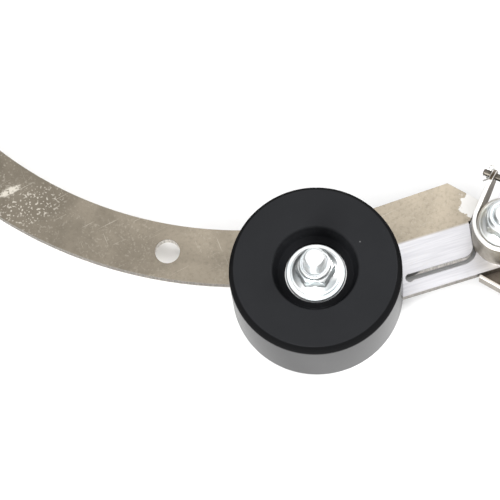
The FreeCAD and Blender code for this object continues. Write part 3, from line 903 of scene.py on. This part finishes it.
# %% Bright zinc
def zinc_finish():
    """Two cool tones mixed by cloud, with a darker fine grain that also roughens the coat."""
    finish = Finish("bright_zinc_plate", {"Metallic": 1.0})
    here = finish.place()
    cloud = finish.noise(here, 0.007, 3.0, 0.6, 0.6)
    grain = finish.noise(here, 0.0005, 4.0, 0.6)
    base = finish.mix(cloud.step(0.35, 0.65), colour(0.81, 0.865, 0.880), colour(0.92, 0.935, 0.930))
    base = finish.mix(grain.step(0.62, 0.8) * 0.4, base, colour(0.55, 0.60, 0.62))
    rough = 0.23 + grain * 0.12 + cloud * 0.06
    finish.drive({"Base Color": base, "Roughness": rough, "Normal": finish.bump(grain, 0.00002)})
    return finish


zinc = zinc_finish()
for piece in (*nut_pieces, axle_piece, stud_piece):
    paint(piece, zinc)

# %% [markdown]
# ## Finish: turned steel
#
# The spacers, the sleeve and the bush are turned from bar. A turned surface carries fine grooves round
# the axis, so the pattern is noise that is stretched flat: it changes fast along z and slowly around.

# %% Turned steel
def turned_finish(name, light, dark, roughness):
    """Light metal with dark, rougher stains, and grooves that are noise stretched round the axis."""
    finish = Finish(name, {"Metallic": 1.0})
    grooves = finish.noise(finish.place((0, 0, 0), 0, (0.03, 0.03, 1)), 0.00035, 3.0, 0.6)
    stain = finish.noise(finish.place(), 0.006, 4.0, 0.65, 0.5)
    base = finish.mix(stain.step(0.4, 0.7), colour(*light), colour(*dark))
    rough = roughness + stain * 0.15
    relief = grooves + stain * 0.2
    finish.drive({"Base Color": base, "Roughness": rough, "Normal": finish.bump(relief, 0.00002)})
    return finish


plain_steel = turned_finish("turned_steel", (0.58, 0.56, 0.53), (0.42, 0.40, 0.37), 0.28)
race_steel = turned_finish("ground_bearing_steel", (0.66, 0.66, 0.66), (0.58, 0.58, 0.59), 0.12)
cage_steel = turned_finish("cage_steel", (0.55, 0.50, 0.42), (0.46, 0.42, 0.36), 0.35)
for piece, slot in ring_pieces.items():
    paint(piece, zinc if slot == "bright_zinc" else plain_steel)

# %% [markdown]
# ## The bearings
#
# The races, balls and cages are inside the sealed bearings and show only through the thin gaps at the
# seals. Their CAD nodes have the right shape, so they stay and only change their finish.

# %% Bearing nodes
for side in ("rear", "front"):
    for name in ("inner_race", "outer_race", "balls"):
        paint(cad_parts[f"{side}_{name}"], race_steel)
    paint(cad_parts[f"{side}_ball_cage"], cage_steel)

# %% [markdown]
# ## Finish: bracket, strap and pins
#
# The bracket is dull, browned steel, with its front lip painted paler as painted light and the tops of its
# lips painted bright as bare sheared steel and a painted highlight. The strap has a zinc coat like the
# arm's, again with a bright top rim of sheared steel and painted highlight, and its legs are painted dark
# brown as painted shade. The cross pin is darker, with the dry sheen of oiled steel. One function serves
# all of them, because they differ only in colour, roughness and where they are painted bright or dark.

# %% Sheet finishes
def sheet_finish(name, light, dark, roughness, edge_colour, size, rim=None, accent=None):
    """size is that of the stains, rim is the height above which a piece is painted bright, as bare sheared
    steel and a painted highlight, and accent gives a share and a colour of its own; the two used here are
    painted light and painted shade."""
    finish = Finish(name, {"Metallic": 1.0})
    here = finish.place()
    cloud = finish.noise(here, size, 5.0, 0.65, 0.6)
    grain = finish.noise(here, 0.0011, 4.0, 0.65)
    base = finish.mix(cloud.step(0.35, 0.68), colour(*light), colour(*dark))
    base = finish.mix(grain.step(0.5, 0.8) * 0.4, base, colour(*[value * 0.6 for value in dark]))
    if accent is not None:
        share, tone = accent(finish)
        base = finish.mix(share * (0.75 + cloud * 0.25), base, tone)
    edge = finish.edge()
    marks = scratches(finish, (0, 0, 0), 0.9, 0.012, 0.0005, 0.72)
    bright = (edge * 0.7).larger(marks * 0.5)
    # Painted highlight with bare sheared steel: above the rim height the piece is painted bright.
    if rim is not None:
        bright = bright.larger(finish.part(here, "Z").step(rim - 0.0004, rim - 0.0002))
    base = finish.mix(bright, base, colour(*edge_colour))
    rough = roughness + grain * 0.16 - edge * 0.08
    relief = grain - marks * 0.5
    finish.drive({"Base Color": base, "Roughness": rough, "Normal": finish.bump(relief, 0.00004)})
    return finish


BRACKET_TURN, LIP_FRONT = math.radians(-30), -0.0219


def shaded_legs(finish):
    """The strap is painted dark brown where its legs stand clear of the bush, as painted shade."""
    # Painted shade: the legs beyond the bush are painted dark brown.
    reach = finish.part(finish.place((0, 0, 0), -YOKE_TURN), "Y")
    return reach.step(0.004, 0.011), colour(0.105, 0.078, 0.050)


def lit_front_lip(finish):
    """The outer face of the front lip is painted paler than the rest of the bracket, as painted light."""
    # Painted light: the front lip's outer face is painted a paler grey than the browned steel.
    across = finish.part(finish.place((0, 0, 0), -BRACKET_TURN), "Y")
    return across.step(LIP_FRONT + 0.0006, LIP_FRONT + 0.0002), colour(0.36, 0.335, 0.30)


BROWNED, BROWNED_DARK, LIP_BRIGHT = (0.17, 0.145, 0.12), (0.10, 0.08, 0.065), (0.74, 0.71, 0.67)
OLIVE, OLIVE_DARK, STRAP_BRIGHT = (0.33, 0.30, 0.245), (0.23, 0.205, 0.165), (0.86, 0.84, 0.81)
OILED, OILED_DARK, PIN_BRIGHT = (0.15, 0.135, 0.115), (0.09, 0.08, 0.065), (0.36, 0.34, 0.31)
# Above these rim heights the bracket's lips and the strap are painted bright: sheared steel and a painted
# highlight.
lip_rim, strap_rim = heights("hinge_bracket")[1], heights("yoke_strap")[1]
browned = sheet_finish("browned_steel", BROWNED, BROWNED_DARK, 0.42, LIP_BRIGHT, 0.012, lip_rim, lit_front_lip)
olive = sheet_finish("strap_zinc", OLIVE, OLIVE_DARK, 0.36, STRAP_BRIGHT, 0.008, strap_rim, shaded_legs)
oiled = sheet_finish("oiled_steel", OILED, OILED_DARK, 0.28, PIN_BRIGHT, 0.006)
paint(sheet_pieces["bracket_steel"], browned)
paint(sheet_pieces["strap_steel"], olive)
paint(sheet_pieces["pin_steel"], oiled)

# %% [markdown]
# ## Finish: nylon, rubber and wire
#
# The locking ring in a nut is milky nylon with a soft shine. The seals are black rubber with a fine
# matte skin. The split pin is bright drawn wire, which is the sheet finish in light tones.

# %% Small finishes
def soft_finish(name, first, second, roughness, constants):
    """Two close tones mixed by cloud, with a fine skin in the roughness and the bump."""
    finish = Finish(name, {"Metallic": 0.0, **constants})
    here = finish.place()
    cloud = finish.noise(here, 0.002, 3.0, 0.6)
    skin = finish.noise(here, 0.0003, 3.0, 0.6)
    base = finish.mix(cloud, colour(*first), colour(*second))
    rough = roughness + skin * 0.12
    finish.drive({"Base Color": base, "Roughness": rough, "Normal": finish.bump(skin, 0.00002)})
    return finish


nylon = soft_finish("nylon", (0.62, 0.64, 0.66), (0.72, 0.74, 0.75), 0.35, {"Specular IOR Level": 0.5})
rubber = soft_finish("seal_rubber", (0.018, 0.018, 0.019), (0.028, 0.027, 0.027), 0.55, {})
wire = sheet_finish("drawn_wire", (0.74, 0.74, 0.72), (0.60, 0.59, 0.55), 0.24, (0.9, 0.9, 0.88), 0.003)
for piece in insert_pieces:
    paint(piece, nylon)
for piece in seal_pieces:
    paint(piece, rubber)
paint(split_piece, wire)

# %% [markdown]
# ## Floor
#
# The object lies on a plain pale floor, level with its lowest point.

# %% Floor
FLOOR_HALF = 6.0


def make_floor():
    mesh = bpy.data.meshes.new("floor")
    corners = [(-1, -1), (1, -1), (1, 1), (-1, 1)]
    places = [(FLOOR_HALF * x, FLOOR_HALF * y, cad_low.z) for x, y in corners]
    mesh.from_pydata(places, [], [(0, 1, 2, 3)])
    floor = bpy.data.objects.new("floor", mesh)
    bpy.context.scene.collection.objects.link(floor)
    finish = Finish("pale_floor", {"Specular IOR Level": 0.2})
    tone = finish.noise(finish.place(), 0.4, 3.0)
    base = finish.mix(tone, colour(0.90, 0.90, 0.90), colour(0.93, 0.93, 0.93))
    finish.drive({"Base Color": base, "Roughness": 0.7 + tone * 0.1})
    paint(floor, finish)
    floor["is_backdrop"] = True


make_floor()

# %% [markdown]
# ## Light
#
# The object is lit by a soft studio dome. It is brightest overhead and falls off steeply towards the
# horizon, so that flat faces are evenly lit while rounded edges turn dark. Two large soft lamps stand in
# front and on the right, and draw the pale stretches on the tread and on the bright pieces.

# %% Studio dome and lamps
def make_dome(overhead, horizon):
    """A sky whose strength rises from the horizon to straight overhead: horizon plus the rest of the
    strength times a smooth step of the direction's upward part."""
    sky = Tree(bpy.data.worlds.new("studio"), "Background", {"Color": colour(1.0, 1.0, 1.0)})
    upward = sky.part(sky.node("ShaderNodeTexCoord", output="Generated"), "Z")
    sky.drive({"Strength": horizon + upward.step(0.22, 0.80) * (overhead - horizon)})
    bpy.context.scene.world = sky.owner


def make_lamp(name, place, aim, size, power):
    """A round soft lamp at a place, turned so that it shines at the aim."""
    lamp = bpy.data.lights.new(name, "AREA")
    lamp.shape = "DISK"
    lamp.size = size
    lamp.energy = power
    holder = bpy.data.objects.new(name, lamp)
    bpy.context.scene.collection.objects.link(holder)
    holder.location = place
    holder.rotation_euler = (Vector(place) - Vector(aim)).to_track_quat("Z", "Y").to_euler()
    print(f"{name}: {power} W, {size} m across")


middle = (cad_low + cad_high) / 2
make_dome(overhead=1.25, horizon=0.05)
make_lamp("front_lamp", (-0.35, -1.1, 0.9), middle, 0.8, 24.0)
make_lamp("right_lamp", (1.1, 0.5, 1.0), middle, 0.7, 16.0)

# %% [markdown]
# ## Camera
#
# The camera looks almost straight down, a little from the front and the right. A long lens from far away
# keeps upright edges nearly parallel. The place and the aim are both measured from the middle of the
# roller's face.

# %% Camera
CAMERA_TILT, CAMERA_SWING, CAMERA_FAR, LENS = math.radians(17), math.radians(6.3), 1.5, 251.4
AIM_LEFT, AIM_UP = 28.0 * MM, 7.5 * MM


def camera_axes(back):
    """The camera's right and up for a backward direction, with its right kept level with x."""
    right = (Vector((1, 0, 0)) - back * back.x).normalized()
    return right, back.cross(right)


def make_camera():
    """A long lens on a line that leans back from upright by the tilt and sideways by the swing. It then
    turns a little, to aim beside the roller."""
    lean = math.sin(CAMERA_TILT)
    back = Vector((lean * math.sin(CAMERA_SWING), -lean * math.cos(CAMERA_SWING), math.cos(CAMERA_TILT)))
    face_centre = Vector((*AXLE, WHEEL_FACE))
    place = face_centre + back * CAMERA_FAR
    right, up = camera_axes(back)
    aim = face_centre - right * AIM_LEFT + up * AIM_UP
    back = (place - aim).normalized()
    right, up = camera_axes(back)
    lens = bpy.data.cameras.new("camera")
    lens.lens = LENS
    holder = bpy.data.objects.new("camera", lens)
    bpy.context.scene.collection.objects.link(holder)
    holder.matrix_world = Matrix.Translation(place) @ Matrix((right, up, back)).transposed().to_4x4()
    bpy.context.scene.camera = holder
    print("camera at", [round(value, 3) for value in place])


make_camera()
bpy.context.scene.view_settings.view_transform = "Standard"

# %% [markdown]
# ## The size once more
#
# The visible pieces should fill very nearly the box of the CAD nodes that they stand for. Both boxes are
# written down so that they can be compared.

# %% Print the visual box
low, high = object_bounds()
print("visual box in mm:", [round(side / MM, 1) for side in high - low])
